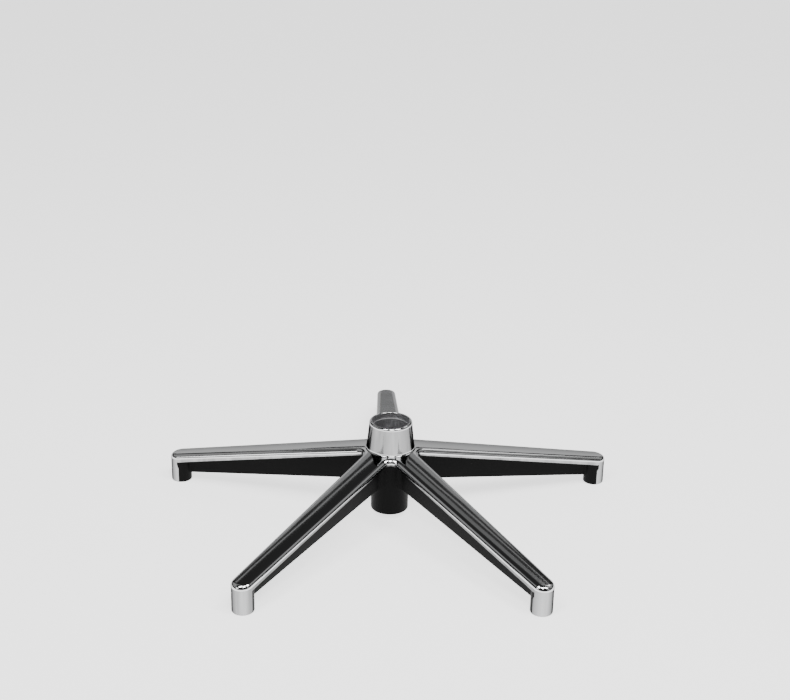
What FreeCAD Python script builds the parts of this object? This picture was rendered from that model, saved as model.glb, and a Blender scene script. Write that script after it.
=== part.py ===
import FreeCAD, Part
import math
import os
import Sketcher

# Five star base of an office chair, one aluminium die casting.
# The hub axis is Z, and Z = 0 is the lower end face of the hub barrel.
# One arm is modelled along +X together with its fifth of the hub, from one
# bisector between two arms to the next, and is then repeated round the axis.

NODE = "star_base"

# Driving dimensions in millimetres and degrees, heights above the hub's lower face
DIMENSIONS = [
    ("arm_count", 5, "arms round the hub"),
    ("caster_circle_radius", 328, "hub axis to the axis of each caster socket"),
    ("socket_radius", 15, "outside of the socket boss and of the rounded arm tip"),
    ("foot_drop", 8.4, "socket end faces below the hub's lower face"),
    ("socket_edge_chamfer", 1.2, "bevel of the boss's lower edge"),
    ("stem_bore_radius", 5.5, "bore for a caster stem"),
    ("stem_bore_depth", 27, "blind depth of the stem bore"),
    ("root_station", 60, "distance from the hub axis where the root width is measured"),
    ("root_half_width", 20.3, "half width of an arm at the root station"),
    ("notch_clearance", 1.665, "plain crown between the collar's foot and the shoulder of a notch"),
    ("ridge_height_at_axis", 104.2, "top line of the arm carried to the hub axis"),
    ("ridge_height_at_socket", 36.6, "top line of the arm over the socket axis"),
    ("crown_radius_at_hub", 130, "roundness across the arm's top beside the hub"),
    ("shoulder_radius", 5, "rounding between the arm's top and its polished rim"),
    ("rim_drop_at_axis", 10.1, "top line down to the rim's lower edge, at the hub axis"),
    ("rim_drop_at_socket", 12.6, "top line down to the rim's lower edge, at the socket axis"),
    ("keel_height_at_axis", 45.7, "lower edge of the keel carried to the hub axis"),
    ("keel_height_at_socket", 3.1, "lower edge of the keel carried to the socket axis"),
    ("keel_thickness", 5, "thickness of the web under the arm"),
    ("keel_root_radius", 8, "rounding between the keel and the hub barrel"),
    ("keel_tip_radius", 3, "rounding between the keel and the socket boss"),
    ("cored_wall", 4.5, "wall left round the cored pockets under the arm"),
    ("cored_roof", 5.6, "metal left between a cored pocket and the ridge line"),
    ("cored_start", 56, "hub end of the cored pockets, from the hub axis"),
    ("rib_count", 3, "cross ribs in the cored underside of an arm"),
    ("rib_thickness", 3, "thickness of a cross rib"),
    ("barrel_radius", 27, "outside of the hub barrel"),
    ("barrel_edge_chamfer", 1.6, "bevel of the barrel's lower edge"),
    ("barrel_wall", 2, "barrel's radius beyond the large end of the gas lift taper"),
    ("taper_ratio", 20, "length over which the taper loses one unit of diameter"),
    ("lower_land_length", 11, "straight bore at the lower end of the taper"),
    ("mouth_clearance", 1.4, "mouth's radius beyond the large end of the taper"),
    ("mouth_depth", 9.1, "depth of the mouth below the collar's top"),
    ("collar_wall", 4, "wall of the collar at its top"),
    ("collar_flare", 3.8, "collar's radius at its foot beyond that at its top"),
    ("collar_height", 37.8, "collar's foot to its top"),
    ("collar_foot_drop", 4.3, "collar's foot below the arm's top line carried to the axis"),
    ("collar_foot_rounding", 2.6, "rounding between the collar and the arms' tops"),
    ("lip_bevel", 1.2, "bevels of the collar's lip, outside and inside"),
]

# Dimensions that follow from the driving ones
DERIVED = [
    ("rim_height_at_axis", "ridge_height_at_axis - rim_drop_at_axis"),
    ("rim_height_at_socket", "ridge_height_at_socket - rim_drop_at_socket"),
    ("taper_top_radius", "barrel_radius - barrel_wall"),
    ("mouth_radius", "taper_top_radius + mouth_clearance"),
    ("collar_top_radius", "mouth_radius + collar_wall"),
    ("collar_foot_radius", "collar_top_radius + collar_flare"),
    ("collar_foot_height", "ridge_height_at_axis - collar_foot_drop"),
    ("collar_top_height", "collar_foot_height + collar_height"),
    ("taper_top_height", "collar_top_height - mouth_depth"),
    (
        "land_radius",
        "taper_top_radius - (taper_top_height - lower_land_length) / (2 * taper_ratio)",
    ),
    ("half_pitch", "180 deg / arm_count"),
    ("side_run", "caster_circle_radius - root_station"),
    (
        "side_lean",
        "atan(root_half_width / side_run)"
        " - asin(socket_radius / sqrt(side_run ^ 2 + root_half_width ^ 2))",
    ),
    ("side_offset", "caster_circle_radius * sin(side_lean) + socket_radius"),
    (
        "notch_apex",
        "collar_foot_radius + collar_foot_rounding + shoulder_radius + notch_clearance",
    ),
    (
        "valley_radius",
        "(notch_apex * sin(side_lean + half_pitch) - side_offset)"
        " / (1 - sin(side_lean + half_pitch))",
    ),
]

doc = FreeCAD.newDocument("office_chair_base")
sheet = doc.addObject("Spreadsheet::Sheet", "Dimensions")
for row, (alias, number, meaning) in enumerate(DIMENSIONS, start=1):
    sheet.set(f"A{row}", meaning)
    sheet.set(f"B{row}", str(number))
    sheet.setAlias(f"B{row}", alias)
for row, (alias, formula) in enumerate(DERIVED, start=len(DIMENSIONS) + 1):
    sheet.set(f"B{row}", f"={formula}")
    sheet.setAlias(f"B{row}", alias)
doc.recompute()


def cell(alias):
    """The name of a sheet cell in an expression."""
    return f"Dimensions.{alias}"


def value(expression):
    """An expression on the sheet's cells worked out as a number."""
    result = sheet.evalExpression(str(expression))
    return float(getattr(result, "Value", result))


def height_at(line, station):
    """Expression for the height of one of the arm's straight lines at a distance from the axis."""
    start = cell(f"{line}_height_at_axis")
    end = cell(f"{line}_height_at_socket")
    return f"({start} + ({end} - {start}) * ({station}) / {cell('caster_circle_radius')})"


# The arm's reach, how far cuts run past the metal, and how far joined shapes overlap
ARM_REACH = f"({cell('caster_circle_radius')} + {cell('socket_radius')})"
CLEAR = "10"
OVERLAP = "2"
FULL_TURN = 360

# The modelled arm points to the back, along +Y
body = doc.addObject("PartDesign::Body", NODE)
body.Label = NODE
body.Placement = FreeCAD.Placement(
    FreeCAD.Vector(0, 0, 0), FreeCAD.Rotation(FreeCAD.Vector(0, 0, 1), 90)
)
ORIGIN = {feature.Role: feature for feature in body.Origin.OriginFeatures}


def new_sketch(name, plane, offset=None):
    """A sketch on one of the body's origin planes, moved along the plane's normal."""
    sketch = body.newObject("Sketcher::SketchObject", name)
    sketch.AttachmentSupport = [(ORIGIN[plane], "")]
    sketch.MapMode = "FlatFace"
    if offset is not None:
        sketch.setExpression("AttachmentOffset.Base.z", str(offset))
    return sketch


def bind(sketch, constraint, expression):
    """Adds a dimension and ties it to the sheet."""
    index = sketch.addConstraint(constraint)
    sketch.setExpression(f"Constraints[{index}]", str(expression))


def place_point(sketch, geometry, end, x, y):
    """Fixes a point by its two coordinates, each an expression."""
    for kind, axis, expression in (("DistanceX", -2, x), ("DistanceY", -1, y)):
        number = value(expression)
        if abs(number) < 1e-9:
            sketch.addConstraint(Sketcher.Constraint("PointOnObject", geometry, end, axis))
        else:
            bind(sketch, Sketcher.Constraint(kind, -1, 1, geometry, end, number), expression)


def polygon(sketch, corners):
    """An outline of straight lines through corners given as pairs of expressions."""
    points = [FreeCAD.Vector(value(x), value(y), 0) for x, y in corners]
    sides = [
        sketch.addGeometry(Part.LineSegment(start, end), False)
        for start, end in zip(points, points[1:] + points[:1])
    ]
    for side, following in zip(sides, sides[1:] + sides[:1]):
        sketch.addConstraint(Sketcher.Constraint("Coincident", side, 2, following, 1))
    for side, (x, y) in zip(sides, corners):
        place_point(sketch, side, 1, x, y)
    doc.recompute()


def circle(sketch, station, radius):
    """A full circle about a station on the arm's line, both given as expressions."""
    centre = FreeCAD.Vector(value(station), 0, 0)
    shape = Part.Circle(centre, FreeCAD.Vector(0, 0, 1), value(radius))
    ring = sketch.addGeometry(shape, False)
    place_point(sketch, ring, 3, station, "0")
    bind(sketch, Sketcher.Constraint("Radius", ring, value(radius)), radius)
    doc.recompute()


def feature(kind, name, sketch, **settings):
    """A body feature on a sketch, with settings that are expressions where they are text."""
    item = body.newObject(f"PartDesign::{kind}", name)
    item.Profile = sketch
    for key, setting in settings.items():
        if isinstance(setting, str) and key in ("Length", "Angle"):
            item.setExpression(key, setting)
        else:
            setattr(item, key, setting)
    doc.recompute()
    return item


# Tolerance for telling faces and edges by their place and direction
EXACT = 1e-4


def edges_where(shape, test):
    """The names of a shape's edges for which the test holds, given the edge and its faces."""
    names = []
    for number, edge in enumerate(shape.Edges, start=1):
        if test(edge, shape.ancestorsOfType(edge, Part.Face)):
            names.append(f"Edge{number}")
    return names


def is_upright(face):
    """Is this face a vertical wall?"""
    u0, u1, v0, v1 = face.ParameterRange
    return abs(face.normalAt((u0 + u1) / 2, (v0 + v1) / 2).z) < EXACT


def middle(edge):
    """The point half way along an edge."""
    return edge.valueAt((edge.FirstParameter + edge.LastParameter) / 2)


def dress_edges(kind, name, expression, test):
    """Rounds or bevels the body's edges that pass the test."""
    base = body.Tip
    names = edges_where(base.Shape, test)
    item = body.newObject(f"PartDesign::{kind}", name)
    item.Base = (base, names)
    item.setExpression("Radius" if kind == "Fillet" else "Size", str(expression))
    doc.recompute()


# Plan outline of one arm and its fifth of the hub.
# The arm tapers towards its rounded tip, and the notch arcs meet the bisectors square on.
def draw_plan_outline():
    sketch = new_sketch("plan_outline", "XY_Plane")
    reach = value(cell("caster_circle_radius"))
    tip_radius = value(cell("socket_radius"))
    notch = value(cell("valley_radius"))
    apex_distance = value(cell("notch_apex"))
    half_pitch = math.radians(value(cell("half_pitch")))
    lean = math.radians(value(cell("side_lean")))

    # The arm's edge runs from the root width to touch the tip circle
    normal = FreeCAD.Vector(math.sin(lean), math.cos(lean), 0)
    tip_centre = FreeCAD.Vector(reach, 0, 0)
    tip_touch = tip_centre + normal * tip_radius
    along = FreeCAD.Vector(math.cos(half_pitch), math.sin(half_pitch), 0)
    notch_centre = along * (apex_distance + notch)
    notch_touch = notch_centre - normal * notch
    apex = along * apex_distance

    def mirrored(point):
        return FreeCAD.Vector(point.x, -point.y, 0)

    def arc(start, end, centre, radius):
        halfway = (start + end) * 0.5 - centre
        halfway.normalize()
        return Part.Arc(start, centre + halfway * radius, end)

    hub = FreeCAD.Vector(0, 0, 0)
    tip = tip_centre + FreeCAD.Vector(tip_radius, 0, 0)
    shapes = [
        Part.LineSegment(hub, mirrored(apex)),
        arc(mirrored(apex), mirrored(notch_touch), mirrored(notch_centre), notch),
        Part.LineSegment(mirrored(notch_touch), mirrored(tip_touch)),
        Part.Arc(mirrored(tip_touch), tip, tip_touch),
        Part.LineSegment(tip_touch, notch_touch),
        arc(notch_touch, apex, notch_centre, notch),
        Part.LineSegment(apex, hub),
    ]
    start_side, start_notch, start_edge, tip_arc, end_edge, end_notch, end_side = (
        sketch.addGeometry(shapes, False)
    )

    # Part.Arc turns its parameters to run anticlockwise, so ends are found by place
    def end_at(geometry, point):
        return 1 if (sketch.getPoint(geometry, 1) - point).Length < 1e-6 else 2

    joints = [
        (start_side, start_notch, mirrored(apex), "Coincident"),
        (start_notch, start_edge, mirrored(notch_touch), "Tangent"),
        (start_edge, tip_arc, mirrored(tip_touch), "Tangent"),
        (tip_arc, end_edge, tip_touch, "Tangent"),
        (end_edge, end_notch, notch_touch, "Tangent"),
        (end_notch, end_side, apex, "Coincident"),
        (end_side, start_side, hub, "Coincident"),
    ]
    for first, second, point, kind in joints:
        sketch.addConstraint(
            Sketcher.Constraint(kind, first, end_at(first, point), second, end_at(second, point))
        )
    sketch.addConstraint(Sketcher.Constraint("Coincident", start_side, 1, -1, 1))
    place_point(sketch, tip_arc, 3, cell("caster_circle_radius"), "0")
    bind(sketch, Sketcher.Constraint("Radius", tip_arc, tip_radius), cell("socket_radius"))
    bind(sketch, Sketcher.Constraint("Radius", start_notch, notch), cell("valley_radius"))
    sketch.addConstraint(Sketcher.Constraint("Equal", start_notch, end_notch))
    sketch.addConstraint(Sketcher.Constraint("PointOnObject", start_notch, 3, start_side))
    sketch.addConstraint(Sketcher.Constraint("PointOnObject", end_notch, 3, end_side))
    sketch.addConstraint(
        Sketcher.Constraint("Symmetric", start_side, 2, end_side, 1, -1)
    )
    bind(
        sketch,
        Sketcher.Constraint("Angle", -1, 1, end_side, 2, half_pitch),
        cell("half_pitch"),
    )

    # A construction point on the edge carries the root width
    root = FreeCAD.Vector(value(cell("root_station")), value(cell("root_half_width")), 0)
    gauge = sketch.addGeometry(Part.Point(root), True)
    place_point(sketch, gauge, 1, cell("root_station"), cell("root_half_width"))
    sketch.addConstraint(Sketcher.Constraint("PointOnObject", gauge, 1, end_edge))
    doc.recompute()
    return sketch


# The arm's polished cap: the plan outline, trimmed below and crowned above
feature(
    "Pad",
    "cap_blank",
    draw_plan_outline(),
    Length=f"{cell('ridge_height_at_axis')} + {CLEAR}",
)

undercut_sketch = new_sketch("undercut_profile", "XZ_Plane")
polygon(
    undercut_sketch,
    [
        (f"-{CLEAR}", f"-{CLEAR}"),
        (f"{ARM_REACH} + {CLEAR}", f"-{CLEAR}"),
        (f"{ARM_REACH} + {CLEAR}", height_at("rim", f"{ARM_REACH} + {CLEAR}")),
        (f"-{CLEAR}", height_at("rim", f"-{CLEAR}")),
    ],
)
feature(
    "Pocket",
    "undercut",
    undercut_sketch,
    Midplane=True,
    Length=f"2 * {ARM_REACH}",
)

# The crown is part of a cone lying under the arm. Its roundness shrinks with the
# arm's width, so its edges are straight, and beside the hub the crowns of two
# neighbouring arms run into each other smoothly.
crown_sketch = new_sketch("crown_profile", "XZ_Plane")
CROWN_NEAR = f"-{CLEAR}"
CROWN_FAR = f"({ARM_REACH} + {CLEAR})"
polygon(
    crown_sketch,
    [
        (CROWN_NEAR, height_at("ridge", CROWN_NEAR)),
        (CROWN_FAR, height_at("ridge", CROWN_FAR)),
        (CROWN_FAR, f"{height_at('ridge', CROWN_NEAR)} + 2 * {CLEAR}"),
        (CROWN_NEAR, f"{height_at('ridge', CROWN_NEAR)} + 2 * {CLEAR}"),
    ],
)
hub_station = cell("collar_foot_radius")
socket_station = cell("caster_circle_radius")
SIDES_MEET = (
    f"({cell('root_station')} + {cell('root_half_width')} * {cell('side_run')}"
    f" / ({cell('root_half_width')} - {cell('socket_radius')}))"
)
CROWN_RADIUS_AT_SOCKET = (
    f"({cell('crown_radius_at_hub')} * ({SIDES_MEET} - {socket_station})"
    f" / ({SIDES_MEET} - {hub_station}))"
)
axis_start = (
    hub_station,
    f"{height_at('ridge', hub_station)} - {cell('crown_radius_at_hub')}",
)
axis_end = (
    socket_station,
    f"{height_at('ridge', socket_station)} - {CROWN_RADIUS_AT_SOCKET}",
)
crown_axis = crown_sketch.addGeometry(
    Part.LineSegment(
        FreeCAD.Vector(value(axis_start[0]), value(axis_start[1]), 0),
        FreeCAD.Vector(value(axis_end[0]), value(axis_end[1]), 0),
    ),
    True,
)
place_point(crown_sketch, crown_axis, 1, *axis_start)
place_point(crown_sketch, crown_axis, 2, *axis_end)
doc.recompute()
CROWN_SWEEP = "170"
feature(
    "Groove",
    "crown",
    crown_sketch,
    ReferenceAxis=(crown_sketch, ["Axis0"]),
    Midplane=True,
    Angle=CROWN_SWEEP,
)


def on_bisector(face):
    """Is this face part of a plane through the hub axis, where the next sector joins?"""
    surface = face.Surface
    return isinstance(surface, Part.Plane) and abs(surface.Position.dot(surface.Axis)) < EXACT


def on_shoulder(edge, faces):
    cones = [face for face in faces if isinstance(face.Surface, Part.Cone)]
    walls = [face for face in faces if is_upright(face) and not on_bisector(face)]
    return len(cones) == 1 and len(walls) == 1


dress_edges("Fillet", "shoulder", cell("shoulder_radius"), on_shoulder)

# A fifth of the hub: barrel below, collar above
hub_sketch = new_sketch("hub_profile", "XZ_Plane")
STEP_HEIGHT = f"({height_at('rim', cell('barrel_radius'))} + {OVERLAP})"
COLLAR_SLOPE = f"({cell('collar_flare')} / {cell('collar_height')})"
polygon(
    hub_sketch,
    [
        ("0", "0"),
        (cell("barrel_radius"), "0"),
        (cell("barrel_radius"), STEP_HEIGHT),
        (
            f"{cell('collar_foot_radius')}"
            f" + ({cell('collar_foot_height')} - {STEP_HEIGHT}) * {COLLAR_SLOPE}",
            STEP_HEIGHT,
        ),
        (cell("collar_top_radius"), cell("collar_top_height")),
        (cell("mouth_radius"), cell("collar_top_height")),
        (cell("mouth_radius"), cell("taper_top_height")),
        ("0", cell("taper_top_height")),
    ],
)
feature(
    "Revolution",
    "hub",
    hub_sketch,
    ReferenceAxis=(hub_sketch, ["V_Axis"]),
    Midplane=True,
    Angle=f"2 * {cell('half_pitch')}",
)


def on_collar_foot(edge, faces):
    """Is this edge between the upright cone of the collar and the lying cone of a crown?"""
    cones = [face.Surface for face in faces if isinstance(face.Surface, Part.Cone)]
    upright = [cone for cone in cones if abs(cone.Axis.z) > 1 - EXACT]
    return len(cones) == 2 and len(upright) == 1


dress_edges("Fillet", "collar_foot", cell("collar_foot_rounding"), on_collar_foot)

# The underside is cored out on both sides of the keel, in bays between cross ribs.
# Their roof runs parallel to the arm's top line.
roof_plane = body.newObject("PartDesign::Plane", "cored_roof_plane")
roof_plane.AttachmentSupport = [(ORIGIN["XY_Plane"], "")]
roof_plane.MapMode = "FlatFace"
roof_plane.AttachmentOffset = FreeCAD.Placement(
    FreeCAD.Vector(0, 0, 0), FreeCAD.Rotation(FreeCAD.Vector(0, 1, 0), 1)
)
roof_plane.setExpression(
    "AttachmentOffset.Base.z", f"{cell('ridge_height_at_axis')} - {cell('cored_roof')}"
)
roof_plane.setExpression(
    "AttachmentOffset.Rotation.Angle",
    f"atan(({cell('ridge_height_at_axis')} - {cell('ridge_height_at_socket')})"
    f" / {cell('caster_circle_radius')})",
)


def cored_edge(station):
    """Expression for the outer side of a cored bay, one wall inside the arm's edge."""
    start = cell("root_half_width")
    fall = f"({start} - {cell('socket_radius')})"
    run = f"({cell('caster_circle_radius')} - {cell('root_station')})"
    return (
        f"({start} - {cell('cored_wall')}"
        f" - {fall} * (({station}) - {cell('root_station')}) / {run})"
    )


BAYS_END = f"({cell('caster_circle_radius')} - {cell('socket_radius')} - {cell('cored_wall')})"
BAY_COUNT = f"({cell('rib_count')} + 1)"
BAY_LENGTH = (
    f"(({BAYS_END} - {cell('cored_start')} - {cell('rib_count')} * {cell('rib_thickness')})"
    f" / {BAY_COUNT})"
)
bays_sketch = new_sketch("cored_bays", "XY_Plane")
for bay in range(round(value(BAY_COUNT))):
    near_end = f"({cell('cored_start')} + {bay} * ({BAY_LENGTH} + {cell('rib_thickness')}))"
    far_end = f"({near_end} + {BAY_LENGTH})"
    for sign in ("", "-"):
        polygon(
            bays_sketch,
            [
                (near_end, f"{sign}{cell('keel_thickness')} / 2"),
                (far_end, f"{sign}{cell('keel_thickness')} / 2"),
                (far_end, f"{sign}{cored_edge(far_end)}"),
                (near_end, f"{sign}{cored_edge(near_end)}"),
            ],
        )
feature(
    "Pocket",
    "cored_underside",
    bays_sketch,
    Reversed=True,
    Type="UpToFace",
    UpToFace=(roof_plane, [""]),
)

# The keel, the upright web of the arm's T section
keel_sketch = new_sketch("keel_profile", "XZ_Plane")
KEEL_START = f"({cell('barrel_radius')} / 2)"
polygon(
    keel_sketch,
    [
        (KEEL_START, height_at("keel", KEEL_START)),
        (cell("caster_circle_radius"), cell("keel_height_at_socket")),
        (
            cell("caster_circle_radius"),
            f"{cell('rim_height_at_socket')} + {OVERLAP}",
        ),
        (KEEL_START, f"{height_at('rim', KEEL_START)} + {OVERLAP}"),
    ],
)
feature(
    "Pad",
    "keel",
    keel_sketch,
    Midplane=True,
    Length=cell("keel_thickness"),
)

# The boss for a caster stem, flush with the arm's rounded tip
BOSS_INNER_SIDE = f"({cell('caster_circle_radius')} - {cell('socket_radius')})"
BOSS_TOP = f"({height_at('rim', BOSS_INNER_SIDE)} + {OVERLAP} / 2)"
FOOT_HEIGHT = f"-{cell('foot_drop')}"
boss_sketch = new_sketch("boss_outline", "XY_Plane", FOOT_HEIGHT)
circle(boss_sketch, cell("caster_circle_radius"), cell("socket_radius"))
feature("Pad", "caster_boss", boss_sketch, Length=f"{cell('foot_drop')} + {BOSS_TOP}")


def beside_keel(radius):
    """A test for the upright edges where the keel's flat sides meet a round wall."""

    def test(edge, faces):
        flat = [
            face
            for face in faces
            if isinstance(face.Surface, Part.Plane) and abs(face.Surface.Axis.y) > 1 - EXACT
        ]
        others = [
            face
            for face in faces
            if isinstance(face.Surface, Part.Cylinder)
            and abs(face.Surface.Radius - value(cell(radius))) < EXACT
        ]
        ends = [vertex.Point for vertex in edge.Vertexes]
        low = min(point.z for point in ends)
        return (
            len(flat) == 1
            and len(others) == 1
            and len(ends) == 2
            and abs(ends[0].z - ends[1].z) > 2 * abs(ends[0].x - ends[1].x)
            and abs(abs(middle(edge).y) - value(cell("keel_thickness")) / 2) < EXACT
            and low < value(height_at("keel", middle(edge).x)) + value(OVERLAP)
        )

    return test


# Roundings of the keel and of the boss
dress_edges("Fillet", "keel_root", cell("keel_root_radius"), beside_keel("barrel_radius"))
dress_edges("Fillet", "keel_tip", cell("keel_tip_radius"), beside_keel("socket_radius"))


def on_ring(radius, height):
    """A test for the circular edges of one radius at one height."""

    def test(edge, faces):
        curve = edge.Curve
        return (
            isinstance(curve, Part.Circle)
            and abs(curve.Radius - value(radius)) < EXACT
            and abs(curve.Center.z - value(height)) < EXACT
        )

    return test


# Bevels of the boss's and the barrel's lower edges and of the collar's lip
for name, size, radius, height in (
    ("boss_edge", "socket_edge_chamfer", "socket_radius", FOOT_HEIGHT),
    ("barrel_edge", "barrel_edge_chamfer", "barrel_radius", "0"),
    ("lip_outer_edge", "lip_bevel", "collar_top_radius", cell("collar_top_height")),
    ("lip_inner_edge", "lip_bevel", "mouth_radius", cell("collar_top_height")),
):
    dress_edges("Chamfer", name, cell(size), on_ring(cell(radius), height))

stem_sketch = new_sketch("stem_bore_outline", "XY_Plane", FOOT_HEIGHT)
circle(stem_sketch, cell("caster_circle_radius"), cell("stem_bore_radius"))
feature("Pocket", "stem_bore", stem_sketch, Reversed=True, Length=cell("stem_bore_depth"))

# The whole star from its equal sectors
star = body.newObject("PartDesign::PolarPattern", "star")
star.TransformMode = "Whole shape"
star.Axis = (ORIGIN["Z_Axis"], [""])
star.Angle = FULL_TURN
star.setExpression("Occurrences", cell("arm_count"))
body.Tip = star
doc.recompute()

# The gas lift's seat: a taper that narrows downwards to a short straight land
seat_sketch = new_sketch("seat_profile", "XZ_Plane")
polygon(
    seat_sketch,
    [
        ("0", f"-{CLEAR}"),
        (cell("land_radius"), f"-{CLEAR}"),
        (cell("land_radius"), cell("lower_land_length")),
        (cell("taper_top_radius"), cell("taper_top_height")),
        (cell("taper_top_radius"), f"{cell('taper_top_height')} + {CLEAR}"),
        ("0", f"{cell('taper_top_height')} + {CLEAR}"),
    ],
)
feature(
    "Groove",
    "lift_seat",
    seat_sketch,
    ReferenceAxis=(seat_sketch, ["V_Axis"]),
    Angle=FULL_TURN,
)

# Every object must be sound and the casting one solid before it is written
for item in doc.Objects:
    faults = [state for state in item.State if state in ("Invalid", "Error")]
    if faults:
        raise RuntimeError(f"{item.Name}: {faults}")
    if hasattr(item, "Shape") and item.Shape.isNull() and item.TypeId.startswith("PartDesign"):
        raise RuntimeError(f"{item.Name} is empty")
if not body.Shape.isValid() or len(body.Shape.Solids) != 1:
    raise RuntimeError("the casting is not one valid solid")

os.makedirs("parts", exist_ok=True)
body.Shape.exportStep(f"parts/{body.Label}.step")
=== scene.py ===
import math

import bmesh
import bpy
import numpy as np
from mathutils import Matrix, Vector
from mathutils.geometry import delaunay_2d_cdt


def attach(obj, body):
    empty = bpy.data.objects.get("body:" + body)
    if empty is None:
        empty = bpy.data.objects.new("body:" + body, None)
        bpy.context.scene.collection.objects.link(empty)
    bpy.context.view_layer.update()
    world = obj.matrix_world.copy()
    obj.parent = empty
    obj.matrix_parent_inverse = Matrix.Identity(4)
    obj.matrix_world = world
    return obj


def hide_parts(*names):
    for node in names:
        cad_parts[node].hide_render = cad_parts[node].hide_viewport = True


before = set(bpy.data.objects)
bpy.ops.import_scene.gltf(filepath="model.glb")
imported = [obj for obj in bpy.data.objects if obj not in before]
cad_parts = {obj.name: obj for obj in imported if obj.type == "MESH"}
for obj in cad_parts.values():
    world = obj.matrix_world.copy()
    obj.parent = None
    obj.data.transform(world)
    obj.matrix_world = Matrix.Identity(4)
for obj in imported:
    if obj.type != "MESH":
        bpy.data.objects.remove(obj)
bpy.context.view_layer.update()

# The polished skin of the arms: five sloping caps, die cast in aluminium with the whole star,
# ground and buffed to a mirror. One half arm is worked out, from the middle of the notch
# beside it to its tip, in millimetres with u along the arm and v across it.
ARM_COUNT = 5
HALF_PITCH = math.pi / ARM_COUNT
SOCKET_STATION = 328.0
SOCKET_RADIUS = 15.0
ROOT_STATION = 60.0
ROOT_HALF_WIDTH = 20.3
VALLEY_RADIUS = 12.0
SHOULDER_RADIUS = 7.0
RIM_ROUNDING = 0.7
RIM_ROUNDING_FADE = 18.0
CROWN_START = 34.2
CROWN_RADIUS = 130.0
SKIN_INNER_RADIUS = 38.0
KEEL_HALF = 2.5
BARREL_RADIUS = 27.0
KEEL_ROOT_RADIUS = 8.0

# Heights of three lines of the arm, at the hub axis and at the socket's axis
RIDGE_HEIGHTS = (104.2, 36.6)
RIM_HEIGHTS = (94.1, 24.0)
KEEL_HEIGHTS = (45.7, 3.1)


def even_fall(heights, u):
    """Height that falls evenly from the hub axis to the socket's axis."""
    return heights[0] + (heights[1] - heights[0]) * u / SOCKET_STATION


def ridge(u):
    """Height of the arm's top line."""
    return even_fall(RIDGE_HEIGHTS, u)


def rim(u):
    """Height of the rim's lower edge."""
    return even_fall(RIM_HEIGHTS, u)


def keel_line(u):
    """Height of the keel's lower edge."""
    return even_fall(KEEL_HEIGHTS, u)


SIDES_MEET = ROOT_STATION + ROOT_HALF_WIDTH * (SOCKET_STATION - ROOT_STATION) / (
    ROOT_HALF_WIDTH - SOCKET_RADIUS
)
CROWN_END_RADIUS = (
    CROWN_RADIUS * (SIDES_MEET - SOCKET_STATION) / (SIDES_MEET - CROWN_START)
)


def crown(u, v):
    """Height of the crowned top: the upper root of the cone whose axis lies under the arm.

    A point's distance from the axis equals the cone's radius there, which grows evenly along
    the axis, so its height solves a quadratic equation.
    """
    start = np.array([CROWN_START, ridge(CROWN_START) - CROWN_RADIUS])
    end = np.array([SOCKET_STATION, ridge(SOCKET_STATION) - CROWN_END_RADIUS])
    along = (end - start) / np.linalg.norm(end - start)
    across = np.array([-along[1], along[0]])
    ridge_start = np.array([CROWN_START, ridge(CROWN_START)]) - start
    ridge_end = np.array([SOCKET_STATION, ridge(SOCKET_STATION)]) - start
    growth = (ridge_end - ridge_start) @ across / ((ridge_end - ridge_start) @ along)
    base = ridge_start @ across - growth * (ridge_start @ along)
    shift = u - start[0]
    a = across[1] ** 2 - (growth * along[1]) ** 2
    b = 2 * shift * across[0] * across[1] - 2 * growth * along[1] * (
        base + growth * shift * along[0]
    )
    c = (shift * across[0]) ** 2 + v**2 - (base + growth * shift * along[0]) ** 2
    return start[1] + (-b + np.sqrt(b**2 - 4 * a * c)) / (2 * a)


def polar(radius, angle, centre=(0.0, 0.0)):
    """Points in the plan at a radius and angle about a centre."""
    return np.stack(
        [centre[0] + radius * np.cos(angle), centre[1] + radius * np.sin(angle)], axis=-1
    )


span = SOCKET_STATION - ROOT_STATION
side_lean = math.atan2(ROOT_HALF_WIDTH, span) - math.asin(
    SOCKET_RADIUS / math.hypot(span, ROOT_HALF_WIDTH)
)
side_normal = np.array([math.sin(side_lean), math.cos(side_lean)])
tip_centre = np.array([SOCKET_STATION, 0.0])
side_offset = SOCKET_STATION * math.sin(side_lean) + SOCKET_RADIUS
notch_distance = (side_offset + VALLEY_RADIUS) / math.sin(side_lean + HALF_PITCH)
notch_centre = polar(notch_distance, HALF_PITCH)

# Angle on the barrel where the keel's root rounding ends
root_round_distance = BARREL_RADIUS + KEEL_ROOT_RADIUS
keel_root_angle = math.asin((KEEL_HALF + KEEL_ROOT_RADIUS) / root_round_distance)
hub_angles = np.concatenate(
    [np.linspace(HALF_PITCH, keel_root_angle, 10), np.linspace(keel_root_angle, 0, 8)[1:]]
)
keel_columns = 8

# Rays across the skin, each from the outline inwards: to the collar, to the ridge, to the tip
to_collar = polar(SKIN_INNER_RADIUS, hub_angles)
collar_rays = to_collar - notch_centre
collar_rays /= np.linalg.norm(collar_rays, axis=1, keepdims=True)
corner_angle = math.atan2(collar_rays[-1, 1], collar_rays[-1, 0])
side_angle = math.atan2(-side_normal[1], -side_normal[0])
fan_rays = polar(1.0, np.linspace(corner_angle, side_angle, 7)[1:])
side_starts = np.linspace(
    notch_centre - VALLEY_RADIUS * side_normal, tip_centre + SOCKET_RADIUS * side_normal, 54
)[1:]
tip_angles = np.linspace(math.pi / 2 - side_lean, 0, 27)[1:]
tip_rays = -polar(1.0, tip_angles)

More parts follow.
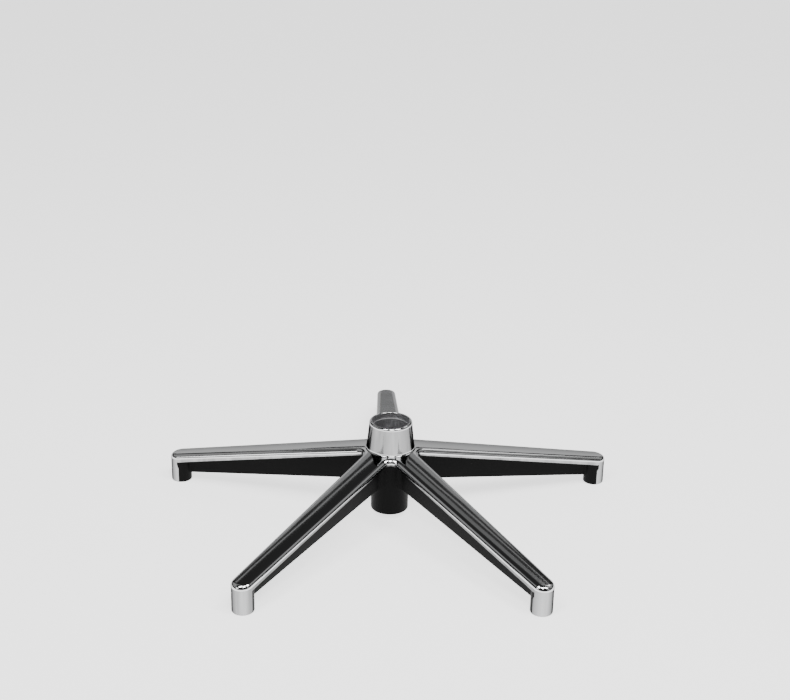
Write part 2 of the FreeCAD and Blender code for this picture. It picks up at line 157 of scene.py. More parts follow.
ray_starts = np.concatenate(
    [
        notch_centre + VALLEY_RADIUS * collar_rays,
        notch_centre + VALLEY_RADIUS * fan_rays,
        side_starts,
        tip_centre - SOCKET_RADIUS * tip_rays,
    ]
)
ray_directions = np.concatenate(
    [collar_rays, fan_rays, np.tile(-side_normal, (len(side_starts), 1)), tip_rays]
)
collar_count = len(collar_rays)
tip_start = collar_count + len(fan_rays) + len(side_starts) - 1
ray_lengths = -ray_starts[:, 1] / ray_directions[:, 1].clip(max=-1e-9)
ray_lengths[:collar_count] = np.linalg.norm(to_collar - ray_starts[:collar_count], axis=1)
ray_lengths[tip_start:] = SOCKET_RADIUS

# The rounding of the rim's lower edge dies out just before the boss
edge_fade = (SOCKET_STATION - ray_starts[:, 0]) / RIM_ROUNDING_FADE
edge_rounding = RIM_ROUNDING * np.clip(edge_fade, 0, 1)
edge_rounding[tip_start:] = 0


# Rows of the skin: over the rounding of the lower edge, up the wall, the shoulder, the crown
ROUNDING_ROWS = 4
WALL_SHARES = (0.35, 0.7, 0.93)
SHOULDER_ROWS = 11
CROWN_SHARES = (0.06, 0.2, 0.36, 0.52, 0.68, 0.84, 1.0)


def plan_points(distance):
    """Points on the rays at a distance from the outline."""
    return ray_starts + ray_directions * np.asarray(distance)[..., None]


def skin_rows():
    """The skin as rows of points, one row for each step from the rim's lower edge to the ridge.

    Across a ray the height follows a quarter circle at the lower edge, an upright wall, a circle
    that touches the wall and the crown, and then the crown itself.
    """
    steps = []
    for turn in np.linspace(0, math.pi / 2, ROUNDING_ROWS):
        distance = edge_rounding * (1 - math.sin(turn))
        place = plan_points(distance)
        steps.append((place, rim(place[:, 0]) + edge_rounding * (1 - math.cos(turn))))
    slope = np.full(len(ray_starts), 0.05)
    reach = 0.01
    for _ in range(6):
        contact = SHOULDER_RADIUS * (1 - np.sin(slope))
        inner = plan_points(contact + reach)
        outer = plan_points(contact - reach)
        rise = crown(inner[:, 0], inner[:, 1]) - crown(outer[:, 0], outer[:, 1])
        slope = np.arctan(rise / (2 * reach))
    touched = plan_points(contact)
    centre_height = crown(touched[:, 0], touched[:, 1]) - SHOULDER_RADIUS * np.cos(slope)
    wall_foot = steps[-1][1]
    for share in WALL_SHARES:
        steps.append((ray_starts, wall_foot + (centre_height - wall_foot) * share))
    for share in np.linspace(0, 1, SHOULDER_ROWS):
        turn = share * (math.pi / 2 - slope)
        place = plan_points(SHOULDER_RADIUS * (1 - np.cos(turn)))
        steps.append((place, centre_height + SHOULDER_RADIUS * np.sin(turn)))
    for share in CROWN_SHARES:
        place = plan_points(contact + (ray_lengths - contact) * share)
        steps.append((place, crown(place[:, 0], place[:, 1])))
    return np.stack([np.column_stack([place, height]) for place, height in steps])


# The finishes of the casting, each by the number of its material
POLISH, PAINT, BARE = 0, 1, 2
patches = []


def add_patch(points, finish, paint=0.0, satin=1.0):
    """Keeps a grid of points for the casting, with its finish, how far it is painted over and
    how satin its polish is.
    """
    shape = points.shape[:2]
    paint = np.broadcast_to(np.asarray(paint, float), shape)
    satin = np.broadcast_to(np.asarray(satin, float), shape)
    patches.append((points, finish, paint, satin))


# The paint ends on the rounding of the lower edge, and leaves the arm's round tip bare
PAINT_OVER_EDGE = (1.0, 0.45, -0.15)
skin = skin_rows()
skin_paint = np.full(skin.shape[:2], -1.0)
skin_paint[: len(PAINT_OVER_EDGE)] = np.array(PAINT_OVER_EDGE)[:, None]
skin_paint[:, tip_start + 1 :] = -1.0

# The buffing wheel reaches the rim less well than the top, and the notches least of all.
# These satin values also pick the painted shade and painted reflection colours, and the notches'
# high value paints them near black as shade.
NOTCH_SATIN_AND_SHADE = 1.0
RIM_SATIN = 0.34
BOSS_SATIN = 0.5
NOTCH_STATION = 38.0
NOTCH_LENGTH = 16.0
out_of_notch = np.clip((ray_starts[:, 0] - NOTCH_STATION) / NOTCH_LENGTH, 0, 1)
rim_satin = NOTCH_SATIN_AND_SHADE + (RIM_SATIN - NOTCH_SATIN_AND_SHADE) * out_of_notch
rim_satin[tip_start:] = BOSS_SATIN
skin_satin = np.zeros(skin.shape[:2])
skin_satin[: ROUNDING_ROWS + len(WALL_SHARES)] = rim_satin
add_patch(skin, POLISH, skin_paint, skin_satin)

# The hub's collar, bore and barrel: the same casting, the collar polished with the arms.
# A lip with a wide outer and a narrow inner rounding ends it above. Inside, the seat for the
# lift is bored to a slow taper, and the barrel below the arms is painted black.
COLLAR_FOOT = (34.2, 99.9)
COLLAR_TOP = (30.6, 135.6)
COLLAR_FOOT_ROUNDING = 2.6
MOUTH_RADIUS = 26.4
TAPER_TOP = (25.0, 128.6)
LAND = (22.06, 11.0)
BARREL_EDGE = 1.6


def turned(profile, angles):
    """Grid of a profile of radius and height turned round the hub axis, a column for each angle.

    The profile's radius and height may differ from column to column.
    """
    radius = np.broadcast_to(np.asarray(profile[0], float), (len(angles),))
    height = np.broadcast_to(np.asarray(profile[1], float), (len(angles),))
    return np.column_stack([radius * np.cos(angles), radius * np.sin(angles), height])


def collar_foot_rows(angles):
    """Rows over the concave rounding between the crowns and the collar.

    In each upright plane through the axis the circle touches the crown's slope and the
    collar's slope, and its centre is where both lines meet when moved out by its radius.
    """
    radius = COLLAR_FOOT_ROUNDING
    reach = 0.2
    near_radius = SKIN_INNER_RADIUS - 1.0
    near = turned((near_radius, 0.0), angles)
    far = turned((near_radius + reach, 0.0), angles)
    height = crown(near[:, 0], near[:, 1])
    slope = (crown(far[:, 0], far[:, 1]) - height) / reach
    lean = (COLLAR_FOOT[0] - COLLAR_TOP[0]) / (COLLAR_TOP[1] - COLLAR_FOOT[1])
    rise = radius * np.sqrt(1 + slope**2)
    out = COLLAR_FOOT[0] + radius * math.sqrt(1 + lean**2)
    base = height + rise - slope * near_radius
    centre_radius = (out - lean * (base - COLLAR_FOOT[1])) / (1 + lean * slope)
    centre_height = base + slope * centre_radius
    first = np.arctan2(-1.0, slope)
    last = -math.pi + math.atan(lean)
    rows = []
    for share in np.linspace(0, 1, 7):
        turn = first + (last - first) * share
        rows.append(
            (centre_radius + radius * np.cos(turn), centre_height + radius * np.sin(turn))
        )
    return rows


# The lip: a wide rounding outside, a narrow one inside
LIP_TOP = 137.7
LIP_OUTER_ROUNDING = 3.2
lip_inner_rounding = COLLAR_TOP[0] - MOUTH_RADIUS - LIP_OUTER_ROUNDING
lip_crest = MOUTH_RADIUS + lip_inner_rounding
lip_turns = np.linspace(0, math.pi, 17)
lip_profile = []
for turn in lip_turns:
    rounding = LIP_OUTER_ROUNDING if turn <= math.pi / 2 else lip_inner_rounding
    lip_profile.append(
        (
            lip_crest + rounding * math.cos(turn),
            LIP_TOP - rounding * (1 - math.sin(turn)),
        )
    )
COLLAR_SATIN = 0.12
foot_rows = collar_foot_rows(hub_angles)
collar_start = foot_rows[-1]
cone_shares = (0.03, 0.2, 0.4, 0.6, 0.8, 0.97)
collar_profile = [
    (SKIN_INNER_RADIUS, skin[-1, :collar_count, 2]),
    *foot_rows,
    *[
        (
            collar_start[0] + (lip_profile[0][0] - collar_start[0]) * share,
            collar_start[1] + (lip_profile[0][1] - collar_start[1]) * share,
        )
        for share in cone_shares
    ],
    *lip_profile,
]
collar_satin = np.zeros(len(collar_profile))
cone_row = 1 + len(foot_rows)
collar_satin[cone_row : cone_row + len(cone_shares)] = COLLAR_SATIN
add_patch(
    np.stack([turned(step, hub_angles) for step in collar_profile]),
    POLISH,
    -1.0,
    collar_satin[:, None],
)

# Bore from the lip down: mouth, taper and lower land, with close rows that keep edges crisp
edge_turns = np.linspace(0, math.pi / 2, 5)
bore_profile = [
    lip_profile[-1],
    (MOUTH_RADIUS, lip_profile[-1][1] - 0.4),
    (MOUTH_RADIUS, TAPER_TOP[1]),
    TAPER_TOP,
    (TAPER_TOP[0] - 0.02, TAPER_TOP[1] - 0.8),
    (LAND[0] + 0.02, LAND[1] + 0.8),
    LAND,
    (LAND[0], 0.5),
    (LAND[0] + 0.5, 0.0),
    (BARREL_RADIUS - BARREL_EDGE, 0.0),
]
add_patch(np.stack([turned(step, hub_angles) for step in bore_profile]), BARE)

# Barrel from its foot up to the keels' lower edges, then between the keels to the arms
barrel_profile = [
    (
        BARREL_RADIUS - BARREL_EDGE * (1 - math.sin(turn)),
        BARREL_EDGE * (1 - math.cos(turn)),
    )
    for turn in edge_turns
]
barrel_split = keel_line(BARREL_RADIUS * np.cos(hub_angles))
barrel_profile += [
    (BARREL_RADIUS, BARREL_EDGE + (barrel_split - BARREL_EDGE) * share)
    for share in (0.02, 0.5, 1.0)
]
add_patch(np.stack([turned(step, hub_angles) for step in barrel_profile]), PAINT, 1.0)
clear_angles = hub_angles[: collar_count - keel_columns + 1]
clear_split = keel_line(BARREL_RADIUS * np.cos(clear_angles))
barrel_top = rim(BARREL_RADIUS * np.cos(clear_angles))
add_patch(
    np.stack(
        [
            turned((BARREL_RADIUS, clear_split + (barrel_top - clear_split) * share), clear_angles)
            for share in (0.0, 0.5, 1.0)
        ]
    ),
    PAINT,
    1.0,
)

# The caster bosses: round bosses under the arm tips, cast with them, each bored for a stem.
# Their outer halves are polished with the rim and the halves towards the hub are painted.
FOOT_HEIGHT = -8.4
BOSS_EDGE = 1.2
STEM_RADIUS = 5.5
STEM_CHAMFER = 0.8
STEM_TOP = 18.6
KEEL_TIP_RADIUS = 3.0
POLISH_TURN = math.radians(96)
POLISH_FADE = math.radians(12)

tip_round_distance = SOCKET_RADIUS + KEEL_TIP_RADIUS
keel_tip_angle = math.pi - math.asin((KEEL_HALF + KEEL_TIP_RADIUS) / tip_round_distance)
boss_angles = np.concatenate(
    [
        np.append(tip_angles[::-1], math.pi / 2 - side_lean),
        np.linspace(math.pi / 2 - side_lean, keel_tip_angle, 12)[1:],
        np.linspace(keel_tip_angle, math.pi, keel_columns)[1:],
    ]
)
boss_clear = boss_angles[: len(boss_angles) - keel_columns + 1]


def boss_ring(radius, height, angles):
    """A ring of points round the socket's axis, its height the same or given for each angle."""
    height = np.broadcast_to(np.asarray(height, float), (len(angles),))
    return np.column_stack([polar(radius, angles, tip_centre), height])


def paint_share(angles):
    """How far a boss is painted: below nought towards the tip and above it towards the hub."""
    return np.clip((angles - POLISH_TURN) / POLISH_FADE, -1, 1)


boss_split = keel_line(SOCKET_STATION + SOCKET_RADIUS * np.cos(boss_angles))
foot_start = FOOT_HEIGHT + BOSS_EDGE
boss_rows = [
    boss_ring(SOCKET_RADIUS, boss_split + (foot_start - boss_split) * share, boss_angles)
    for share in (0.0, 0.5, 0.97)
]
boss_rows += [
    boss_ring(
        SOCKET_RADIUS - BOSS_EDGE * (1 - math.cos(turn)),
        foot_start - BOSS_EDGE * math.sin(turn),
        boss_angles,
    )
    for turn in edge_turns
]
add_patch(np.stack(boss_rows), POLISH, paint_share(boss_angles), BOSS_SATIN)
clear_split = boss_split[: len(boss_clear)]
boss_top = rim(SOCKET_STATION + SOCKET_RADIUS * np.cos(boss_clear))
add_patch(
    np.stack(
        [
            boss_ring(SOCKET_RADIUS, clear_split + (boss_top - clear_split) * share, boss_clear)
            for share in (0.0, 0.5, 1.0)
        ]
    ),
    POLISH,
    paint_share(boss_clear),
    BOSS_SATIN,
)
stem_profile = [
    (SOCKET_RADIUS - BOSS_EDGE, FOOT_HEIGHT),
    (STEM_RADIUS + STEM_CHAMFER, FOOT_HEIGHT),
    (STEM_RADIUS, FOOT_HEIGHT + STEM_CHAMFER),
    (STEM_RADIUS, STEM_TOP),
    (0.0, STEM_TOP),
]
add_patch(np.stack([boss_ring(*step, boss_angles) for step in stem_profile]), BARE)

# The keel: the upright web under each arm that makes it a T in section, cast with the arm
# and painted black. It flares with a rounding into the hub's barrel and into the boss.


def keel_outline():
    """Half plan outline of the keel: the root's arc, a straight side and the tip's arc."""
    root_centre = polar(root_round_distance, keel_root_angle)
    root_turns = np.linspace(keel_root_angle + math.pi, 3 * math.pi / 2, 9)
    tip_round = polar(tip_round_distance, keel_tip_angle, tip_centre)
    tip_turns = np.linspace(-math.pi / 2, keel_tip_angle - math.pi, 6)
    return (
        polar(KEEL_ROOT_RADIUS, root_turns, root_centre),
        polar(KEEL_TIP_RADIUS, tip_turns, tip_round),
    )


def keel_bottom(root_arc, tip_arc):
    """Lower face of the half keel: lines across it that bend from the barrel's arc to straight.

    A line's bulge falls with the square of the distance across, and its middle moves evenly
    from the barrel to the end of the root's arc, and the same at the boss.
    """
    across = np.sin(hub_angles[-keel_columns:]) / math.sin(keel_root_angle)
    lines = [polar(BARREL_RADIUS, hub_angles[-keel_columns:])]
    for number, (u, v) in enumerate(root_arc[1:], start=1):
        middle = BARREL_RADIUS + (root_arc[-1, 0] - BARREL_RADIUS) * number / (len(root_arc) - 1)
        lines.append(np.column_stack([u + (middle - u) * (1 - across**2), v * across]))
    for share in (0.25, 0.5, 0.75):
        u = root_arc[-1, 0] + (tip_arc[0, 0] - root_arc[-1, 0]) * share
        lines.append(np.column_stack([np.full(keel_columns, u), KEEL_HALF * across]))
    inner_side = SOCKET_STATION - SOCKET_RADIUS
    for number, (u, v) in enumerate(tip_arc[:-1]):
        middle = tip_arc[0, 0] + (inner_side - tip_arc[0, 0]) * number / (len(tip_arc) - 1)
        lines.append(np.column_stack([u + (middle - u) * (1 - across**2), v * across]))
    lines.append(polar(SOCKET_RADIUS, boss_angles[-keel_columns:], tip_centre))
    plan = np.stack(lines)
    return np.dstack([plan, keel_line(plan[..., 0])])


root_arc, tip_arc = keel_outline()
keel_face = keel_bottom(root_arc, tip_arc)
add_patch(keel_face, PAINT, 1.0)
keel_side = keel_face[:, 0, :2]
keel_low = keel_line(keel_side[:, 0])
keel_high = rim(keel_side[:, 0])
add_patch(
    np.stack(
        [
            np.column_stack([keel_side, keel_low + (keel_high - keel_low) * share])
            for share in (0.0, 0.5, 1.0)
        ]
    ),
    PAINT,
    1.0,
)

# The arm's underside: a flat face between the rim and the keel, painted black with it.
# Shallow bays are cored out of it to keep the casting's walls even, with cross ribs between.
BAYS_START = 56.0
BAY_COUNT = 4
RIB = 3.0
BAY_WALL = 4.5
BAY_ROOF = 5.6
BAY_LEDGE = 1.5
BAY_CORNER = 2.2
bays_end = SOCKET_STATION - SOCKET_RADIUS - BAY_WALL
bay_length = (bays_end - BAYS_START - RIB * (BAY_COUNT - 1)) / BAY_COUNT


def bay_loop(number, inset):
    """Plan outline of a bay: four straight sides with round corners, moved inwards by an inset."""
    near = BAYS_START + number * (bay_length + RIB) + inset
    far = near + bay_length - 2 * inset
    inner = KEEL_HALF + BAY_LEDGE + inset
    corner = max(BAY_CORNER - inset, 0.5)
    fall = (ROOT_HALF_WIDTH - SOCKET_RADIUS) / (SOCKET_STATION - ROOT_STATION)
    arcs = []
    for quarter, (u, outer) in enumerate(
        [(far - corner, False), (far - corner, True), (near + corner, True), (near + corner, False)]
    ):
        v = inner + corner
        if outer:
            v = ROOT_HALF_WIDTH - BAY_WALL - fall * (u - ROOT_STATION) - inset - corner
        turns = np.linspace(quarter - 1, quarter, 5) * math.pi / 2
        arcs.append(polar(corner, turns, (u, v)))
    return np.concatenate(arcs)


def bay_rows(number):
    """Wall of a bay from the underside up, leaning in a little and rounded into its roof."""
    rows = []
    for inset, share in ((0.0, 0.0), (0.1, 0.6), (0.25, 0.82), (0.6, 0.95), (1.3, 1.0)):
        loop = bay_loop(number, inset)
        loop = np.concatenate([loop, loop[:1]])
        roof = ridge(loop[:, 0]) - BAY_ROOF
        rows.append(np.column_stack([loop, rim(loop[:, 0]) * (1 - share) + roof * share]))
    return np.stack(rows)


def underside():
    """Triangles of the flat underside, between its outline and the bays' outlines."""
    loops = [
        np.concatenate(
            [
                polar(BARREL_RADIUS, clear_angles),
                keel_side[1:-1],
                polar(SOCKET_RADIUS, boss_clear[::-1], tip_centre)[: -len(tip_angles)],
                skin[0, :tip_start, :2][::-1],
            ]
        )
    ]
    loops += [bay_loop(number, 0.0) for number in range(BAY_COUNT)]
    starts = np.cumsum([0] + [len(loop) for loop in loops])
    rings = [list(range(first, last)) for first, last in zip(starts[:-1], starts[1:])]
    plan = [Vector(point) for point in np.concatenate(loops)]
    places, _, triangles, _, _, owners = delaunay_2d_cdt(plan, [], rings, 1, 1e-7)
    flat = [face for face, owner in zip(triangles, owners) if list(owner) == [0]]
    places = np.array([tuple(place) for place in places])
    return np.column_stack([places, rim(places[:, 0])]), flat


for number in range(BAY_COUNT):
    add_patch(bay_rows(number), PAINT, 1.0)
bay_roofs = [patches[-BAY_COUNT + number][0][-1, :-1] for number in range(BAY_COUNT)]
flat_points, flat_faces = underside()

# The casting put together: the half arm's patches, turned and mirrored round the hub axis,
# are welded along their seams into one closed skin. Each corner also keeps its place along
# and across its own arm, which the buffing marks follow, with the arms set far apart.


def half_arm():
    """All patches joined: points, faces, each face's finish, each point's paint and satin."""
    points, faces, finishes, paints, satins = [], [], [], [], []
    count = 0
    for grid, finish, paint, satin in patches:
        rows, columns = grid.shape[:2]
        corner = (np.arange(rows - 1)[:, None] * columns + np.arange(columns - 1)).ravel() + count
        faces += np.column_stack(
            [corner, corner + 1, corner + columns + 1, corner + columns]
        ).tolist()
        finishes += [finish] * len(corner)
        points.append(grid.reshape(-1, 3))
        paints.append(paint.ravel())
        satins.append(satin.ravel())
        count += rows * columns
    for roof in bay_roofs:
        faces.append(list(range(count, count + len(roof))))
        finishes.append(PAINT)
        points.append(roof)
        paints.append(np.ones(len(roof)))
        satins.append(np.ones(len(roof)))
        count += len(roof)
    faces += [[count + corner for corner in face] for face in flat_faces]
    finishes += [PAINT] * len(flat_faces)
    points.append(flat_points)
    paints.append(np.ones(len(flat_points)))
    satins.append(np.ones(len(flat_points)))
    joined = [np.concatenate(part) for part in (points, paints, satins)]
    return joined[0], faces, finishes, joined[1], joined[2]


points, faces, finishes, paints, satins = half_arm()
ARM_SPACING = 500.0
all_points, all_faces, arm_places = [], [], []
for arm in range(ARM_COUNT):
    turn = math.pi / 2 + arm * 2 * HALF_PITCH
    for side in (1, -1):
        start = len(all_points) * len(points)
        u, v, height = points[:, 0], points[:, 1] * side, points[:, 2]
        all_points.append(
            np.column_stack(
                [
                    u * math.cos(turn) - v * math.sin(turn),
                    u * math.sin(turn) + v * math.cos(turn),
                    height,
                ]
            )
        )
        all_faces += [[corner + start for corner in face] for face in faces]
        arm_places.append(np.column_stack([u, v, height + arm * ARM_SPACING]) / 1000)

star_mesh = bpy.data.meshes.new("star_base")
star_mesh.from_pydata(np.concatenate(all_points) / 1000, [], all_faces)
star_mesh.polygons.foreach_set("material_index", finishes * (2 * ARM_COUNT))
for name, shares in (("paint", paints), ("satin", satins)):
    layer = star_mesh.attributes.new(name, "FLOAT", "POINT")
    layer.data.foreach_set("value", np.tile(shares, 2 * ARM_COUNT))
corners = np.zeros(len(star_mesh.loops), int)
star_mesh.loops.foreach_get("vertex_index", corners)
place_layer = star_mesh.attributes.new("arm_place", "FLOAT_VECTOR", "CORNER")
place_layer.data.foreach_set("vector", np.concatenate(arm_places)[corners].ravel())

WELD_DISTANCE = 4e-6
LEAST_EDGE = 1e-7
shell = bmesh.new()
shell.from_mesh(star_mesh)
bmesh.ops.remove_doubles(shell, verts=shell.verts, dist=WELD_DISTANCE)
bmesh.ops.dissolve_degenerate(shell, edges=shell.edges, dist=LEAST_EDGE)
bmesh.ops.recalc_face_normals(shell, faces=shell.faces)
shell.to_mesh(star_mesh)
shell.free()
star_mesh.polygons.foreach_set("use_smooth", np.ones(len(star_mesh.polygons), bool))
SHARP_ANGLE = math.radians(32)
star_mesh.set_sharp_from_angle(angle=SHARP_ANGLE)

star_base = bpy.data.objects.new("star_base_casting", star_mesh)
bpy.context.collection.objects.link(star_base)
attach(star_base, "root")
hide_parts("star_base")


# The finishes of the casting. It is buffed on top, on the rims and on the bosses' outer halves,
# then masked and sprayed satin black below. The bores and the feet are machined bare.


class Field:
    """A socket that can be added, subtracted and multiplied like a number."""

    def __init__(self, tree, socket=None):
        self.tree = tree
        self.socket = socket

    def node(self, kind, settings=None, output=0, **sockets):
        """Adds a node, makes its settings, then links or sets its sockets.

        A socket is named with low lines for its spaces, or as i0, i1 and so on by its number.
        """
        made = self.tree.nodes.new(kind)
        for key, setting in (settings or {}).items():
            setattr(made, key, setting)
        for key, given in sockets.items():
            name = int(key[1:]) if key[1:].isdigit() else key.replace("_", " ")
            if isinstance(given, Field):
                self.tree.links.new(given.socket, made.inputs[name])
            else:
                made.inputs[name].default_value = given
        return Field(self.tree, made.outputs[output] if made.outputs else None)

    def math(self, operation, other, clamp=False):
        settings = {"operation": operation, "use_clamp": clamp}
        return self.node("ShaderNodeMath", settings, i0=self, i1=other)

    def __add__(self, other):
        return self.math("ADD", other)

    __radd__ = __add__

    def __mul__(self, other):
        return self.math("MULTIPLY", other)

    __rmul__ = __mul__

    def __sub__(self, other):
        return self.math("SUBTRACT", other)

    def __rsub__(self, other):
        return self.node("ShaderNodeMath", {"operation": "SUBTRACT"}, i0=other, i1=self)

    def __pow__(self, other):
        return self.math("POWER", other)

    def clamped(self):
        """The field held between nought and one."""
        return self.math("ADD", 0.0, clamp=True)

    def mixed(self, low, high):
        """A colour between two colours by this field."""
        return self.node("ShaderNodeMix", {"data_type": "RGBA"}, 2, i0=self, i6=low, i7=high)


def new_material(name):
    """An empty material of the casting, and the object's own coordinates in it."""
    material = bpy.data.materials.new(name)
    material.use_nodes = True
    material.node_tree.nodes.clear()
    star_mesh.materials.append(material)
    return Field(material.node_tree).node("ShaderNodeTexCoord", {}, "Object")


def noise(place, scale, detail=3.0, roughness=0.5):
    """A cloudy field, about one half on the mean."""
    return place.node(
        "ShaderNodeTexNoise", {}, Vector=place, Scale=scale, Detail=detail, Roughness=roughness
    )


def stretched(place, scale):
    """Coordinates scaled by a different factor on each axis."""
    return place.node("ShaderNodeMapping", {}, Vector=place, Scale=scale)


def buffed_metal_with_painted_shade(place):
    """Buffed aluminium: waves and fine lines left along the arm by the wheel, a thin haze.

    The collar, rims and bosses have a softer polish than the arms' tops. Their colour is painted
    darker, with faint upright stripes of painted reflection, and painted shade darkens them where
    they turn away from the eye. The notches get the darkest painted shade.
    """
    along = place.node("ShaderNodeAttribute", {"attribute_name": "arm_place"}, "Vector")
    satin = place.node("ShaderNodeAttribute", {"attribute_name": "satin"}, "Fac")
    waves = noise(stretched(along, (7.0, 60.0, 60.0)), 1.0, 0.5)
    lines = noise(stretched(along, (30.0, 900.0, 900.0)), 1.0, 3.0)
    haze = noise(place, 18.0, 4.0, 0.6)
    # Painted reflection: faint upright stripes, dark and light, for the collar, rims and bosses
    painted_reflection_bands = noise(stretched(place, (75.0, 75.0, 5.0)), 1.0, 2.0, 0.6)
    relief = waves + lines * 0.004
    softened = (satin * 8.0).clamped()
    softest = ((satin - COLLAR_SATIN) * 3.0).clamped()
    # Painted shade: the notches, where the satin value is highest, are painted near black
    notch_painted_shade = ((satin - 0.55) * 2.4).clamped()
    # Painted shade: the softer-polished surfaces are painted darker where they turn away from the
    # eye
    facing = place.node("ShaderNodeLayerWeight", {}, "Facing", Blend=0.5)
    edge = (facing**1.3 * 1.3).clamped() * softened
    mirror_tint = haze.mixed((0.58, 0.585, 0.59, 1.0), (0.66, 0.665, 0.67, 1.0))
    # Painted reflection and shade: collar and boss colours painted far darker than the arms' tops,
    # with the upright stripes in them
    collar_painted_reflection = painted_reflection_bands.mixed((0.08, 0.081, 0.083, 1.0), (0.46, 0.461, 0.464, 1.0))
    boss_painted_reflection = painted_reflection_bands.mixed((0.12, 0.122, 0.125, 1.0), (0.64, 0.642, 0.645, 1.0))
    satin_painted_reflection = softest.mixed(collar_painted_reflection, boss_painted_reflection)
    tint = softened.mixed(mirror_tint, satin_painted_reflection)
    tint = notch_painted_shade.mixed(tint, (0.10, 0.10, 0.10, 1.0))
    tint = edge.mixed(tint, (0.06, 0.06, 0.06, 1.0))
    return place.node(
        "ShaderNodeBsdfPrincipled",
        {},
        Base_Color=tint,
        Metallic=1.0,
        Roughness=0.04 + haze * 0.05 + lines * 0.02 + satin * 0.24,
        Specular_Tint=(0.2, 0.2, 0.2, 1.0),
        Normal=place.node("ShaderNodeBump", {}, Strength=1.0, Distance=0.0002, Height=relief),
    )


def black_paint(place):
    """Satin black paint: fine orange peel and an uneven sheen."""
    peel = noise(place, 900.0, 2.0)
    cloud = noise(place, 35.0, 4.0, 0.6)
    return place.node(
        "ShaderNodeBsdfPrincipled",
        {},
        Base_Color=cloud.mixed((0.002, 0.002, 0.002, 1.0), (0.005, 0.005, 0.005, 1.0)),
        Roughness=0.38 + cloud * 0.16,
        Specular_IOR_Level=0.05,
        Normal=place.node("ShaderNodeBump", {}, Strength=0.18, Distance=0.0002, Height=peel),
    )


# Polished and painted surfaces share one material, parted by the masked edge of the paint
place = new_material("polished_and_painted")
masked = place.node("ShaderNodeAttribute", {"attribute_name": "paint"}, "Fac")
ragged = noise(place, 160.0) - 0.5
parting = ((masked + ragged * 0.12) * 14.0 + 0.5).clamped()
metal, paint = buffed_metal_with_painted_shade(place), black_paint(place)
surface = place.node("ShaderNodeMixShader", {}, i0=parting, i1=metal, i2=paint)
surface.node("ShaderNodeOutputMaterial", {}, Surface=surface)

place = new_material("black_paint")
place.node("ShaderNodeOutputMaterial", {}, Surface=black_paint(place))

# Machined bores and foot faces: fine turning rings left by the tool
place = new_material("machined_bore")
rings = place.node(
    "ShaderNodeTexWave",
    {"wave_type": "BANDS", "bands_direction": "Z"},
    Vector=place,
    Scale=420.0,
    Distortion=0.6,
    Detail=2.0,
)
stain = noise(place, 60.0, 4.0, 0.6)
surface = place.node(
    "ShaderNodeBsdfPrincipled",
    {},
    Base_Color=stain.mixed((0.50, 0.50, 0.51, 1.0), (0.66, 0.66, 0.67, 1.0)),
    Metallic=1.0,
    Roughness=0.30 + stain * 0.15,
    Normal=place.node("ShaderNodeBump", {}, Strength=0.12, Distance=0.0002, Height=rings),
)
surface.node("ShaderNodeOutputMaterial", {}, Surface=surface)

# The studio: a wide pale floor that glows a little, as white paper does when lit from below.
FLOOR_REACH = 40.0
floor_mesh = bpy.data.meshes.new("floor")
floor_height = FOOT_HEIGHT / 1000
floor_mesh.from_pydata(
    [
        (x * FLOOR_REACH, y * FLOOR_REACH, floor_height)
        for x, y in ((-1, -1), (1, -1), (1, 1), (-1, 1))
    ],
    [],
    [(0, 1, 2, 3)],
)
floor = bpy.data.objects.new("floor", floor_mesh)
bpy.context.collection.objects.link(floor)
floor_material = bpy.data.materials.new("floor")
floor_material.use_nodes = True
floor_shader = floor_material.node_tree.nodes["Principled BSDF"]
floor_shader.inputs["Base Color"].default_value = (0.86, 0.86, 0.86, 1)
floor_shader.inputs["Roughness"].default_value = 0.9
floor_shader.inputs["Specular IOR Level"].default_value = 0.0
floor_shader.inputs["Emission Color"].default_value = (1, 1, 1, 1)
floor_shader.inputs["Emission Strength"].default_value = 1.7
floor_mesh.materials.append(floor_material)


# The lamps: soft boxes that face the hub. Each is placed where its light is seen mirrored,
# by its turn from straight behind and its rise above the floor, both in degrees.
def soft_box(name, turn, rise, distance, width, length, brightness):
    """A rectangular lamp that faces the hub, its power found from its brightness."""
    around, above = math.radians(turn), math.radians(rise)
    level = distance * math.cos(above)
    place = Vector(
        (level * math.sin(around), level * math.cos(around), distance * math.sin(above))
    )
    lamp = bpy.data.lights.new(name, "AREA")
    lamp.shape = "RECTANGLE"
    lamp.size = width
    lamp.size_y = length
    lamp.energy = brightness * math.pi * width * length
    box = bpy.data.objects.new(name, lamp)
    box.location = place
    box.rotation_euler = (-place).to_track_quat("-Z", "Y").to_euler()
    bpy.context.collection.objects.link(box)


# Pale walls far behind, in the tops of the side arms and the outer halves of the front arms
for number, (rise, wide, tall, brightness) in enumerate(
    ((12.7, 12.0, 4.2, 0.92), (32.8, 6.4, 1.0, 0.90), (38.9, 6.4, 1.0, 0.32), (46.6, 6.4, 0.3, 0.30))
):
    soft_box(f"wall_{number}", 0, rise, 9.0, wide, tall, brightness)

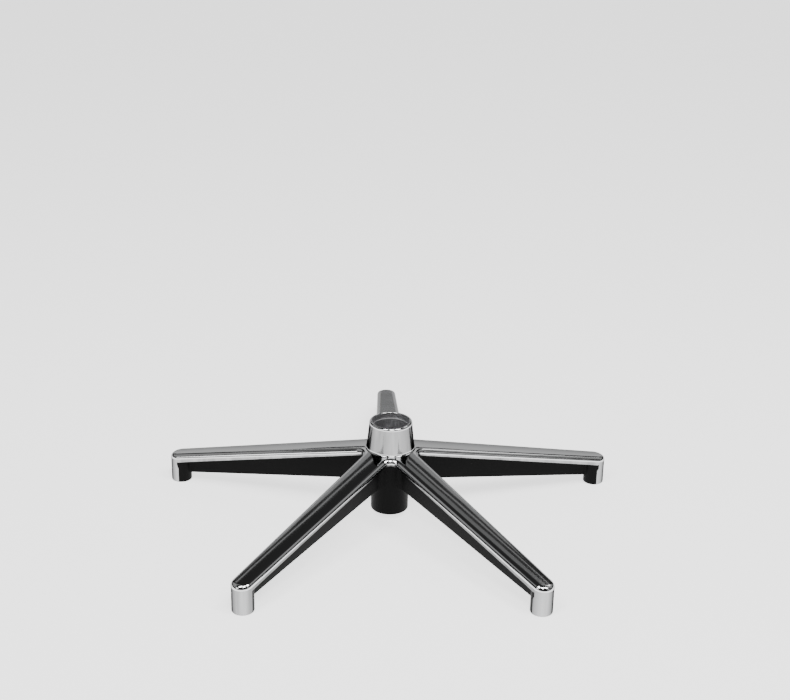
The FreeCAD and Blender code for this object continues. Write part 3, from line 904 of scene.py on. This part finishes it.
# Large dim boxes at both sides, in the shoulders that face the notch between the front arms
for number, turn in enumerate((-76, 76)):
    soft_box(f"side_{number}", turn, 36, 4.0, 3.4, 2.4, 0.34)
for number, (turn, brightness) in enumerate(((-50, 0.26), (50, 0.14))):
    soft_box(f"upper_side_{number}", turn, 57, 4.0, 1.2, 1.0, brightness)

# A narrow dim box behind on the right, a soft streak along the front arm on the right
soft_box("streak", 15, 52.0, 9.0, 2.8, 0.8, 0.17)

# Boxes low in front and one behind on the right, in the shoulders of the side arms
for number, (turn, brightness) in enumerate(((-128, 4.0), (128, 0.8))):
    soft_box(f"front_{number}", turn, 24, 4.0, 1.4, 0.9, brightness)
soft_box("back_right", 45, 50, 5.0, 1.8, 0.9, 2.4)

# Three bright windows high in front, the white patches on the arms' round tips
for number, turn in enumerate((-140, 172, 124)):
    soft_box(f"window_{number}", turn, 60, 2.8, 0.7, 1.3, 12.0)

world = bpy.data.worlds.new("studio")
bpy.context.scene.world = world
world.use_nodes = True
world.node_tree.nodes["Background"].inputs["Color"].default_value = (1, 1, 1, 1)
world.node_tree.nodes["Background"].inputs["Strength"].default_value = 0.03

# The camera at the photograph's viewing angle, worked out from the arms' and sockets' outlines
FOCAL_PIXELS = 1491.8
IMAGE_WIDTH = 790
CAMERA_PLACE = Vector((-0.0481, -1.9166, 1.0408))
CAMERA_FORWARD = Vector((0.02508, 0.92339, -0.38306))
CAMERA_ROLL = math.radians(-1.092)
camera_data = bpy.data.cameras.new("camera")
camera_data.sensor_width = 36.0
camera_data.lens = FOCAL_PIXELS * camera_data.sensor_width / IMAGE_WIDTH
camera = bpy.data.objects.new("camera", camera_data)
level_right = CAMERA_FORWARD.cross(Vector((0, 0, 1))).normalized()
level_up = level_right.cross(CAMERA_FORWARD).normalized()
right = level_right * math.cos(CAMERA_ROLL) - level_up * math.sin(CAMERA_ROLL)
up = level_right * math.sin(CAMERA_ROLL) + level_up * math.cos(CAMERA_ROLL)
axes = np.column_stack([right, up, -CAMERA_FORWARD.normalized()])
camera.matrix_world = Matrix(
    [[*axes[row], CAMERA_PLACE[row]] for row in range(3)] + [[0, 0, 0, 1]]
)
bpy.context.collection.objects.link(camera)
bpy.context.scene.camera = camera
